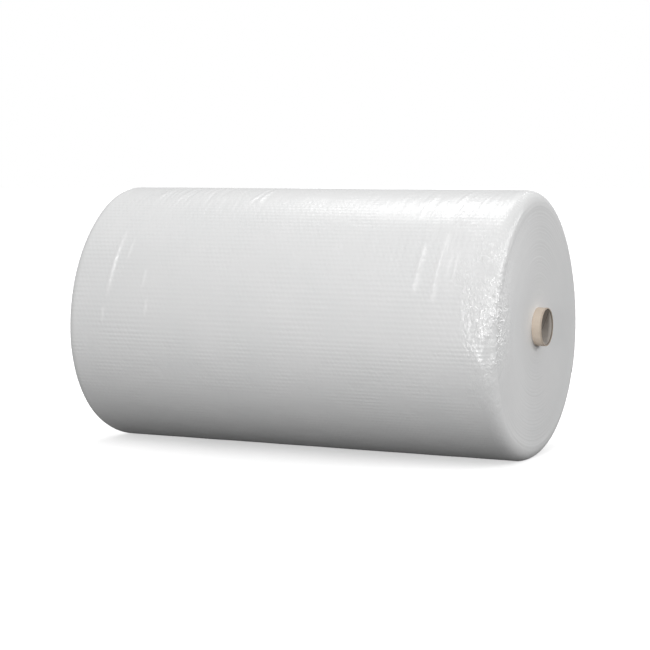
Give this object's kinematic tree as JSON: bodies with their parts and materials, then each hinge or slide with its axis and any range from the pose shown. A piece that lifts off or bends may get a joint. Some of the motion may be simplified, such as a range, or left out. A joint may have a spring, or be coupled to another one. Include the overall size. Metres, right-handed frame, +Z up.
{
  "type": "bubble film roll",
  "caption": "Large soft roll of translucent air-bubble cushioning film wound on a thin paper core tube, lying on its side.",
  "frame": {"origin": "on the floor under the middle of the roll, at the centre of the flat spot it rests on", "axes": "+X along the roll's axis, +Z up, +Y towards the back, where the last turn ends"},
  "size_m": [1.04, 0.5782, 0.575],
  "materials": {
    "bubble_film": "translucent glossy polythene film",
    "core_paper": "uncoated spiral-wound brown paper board"
  },
  "bodies": {
    "root": {"core_tube": "core_paper", "film_turns": "bubble_film"}
  },
  "joints": []
}
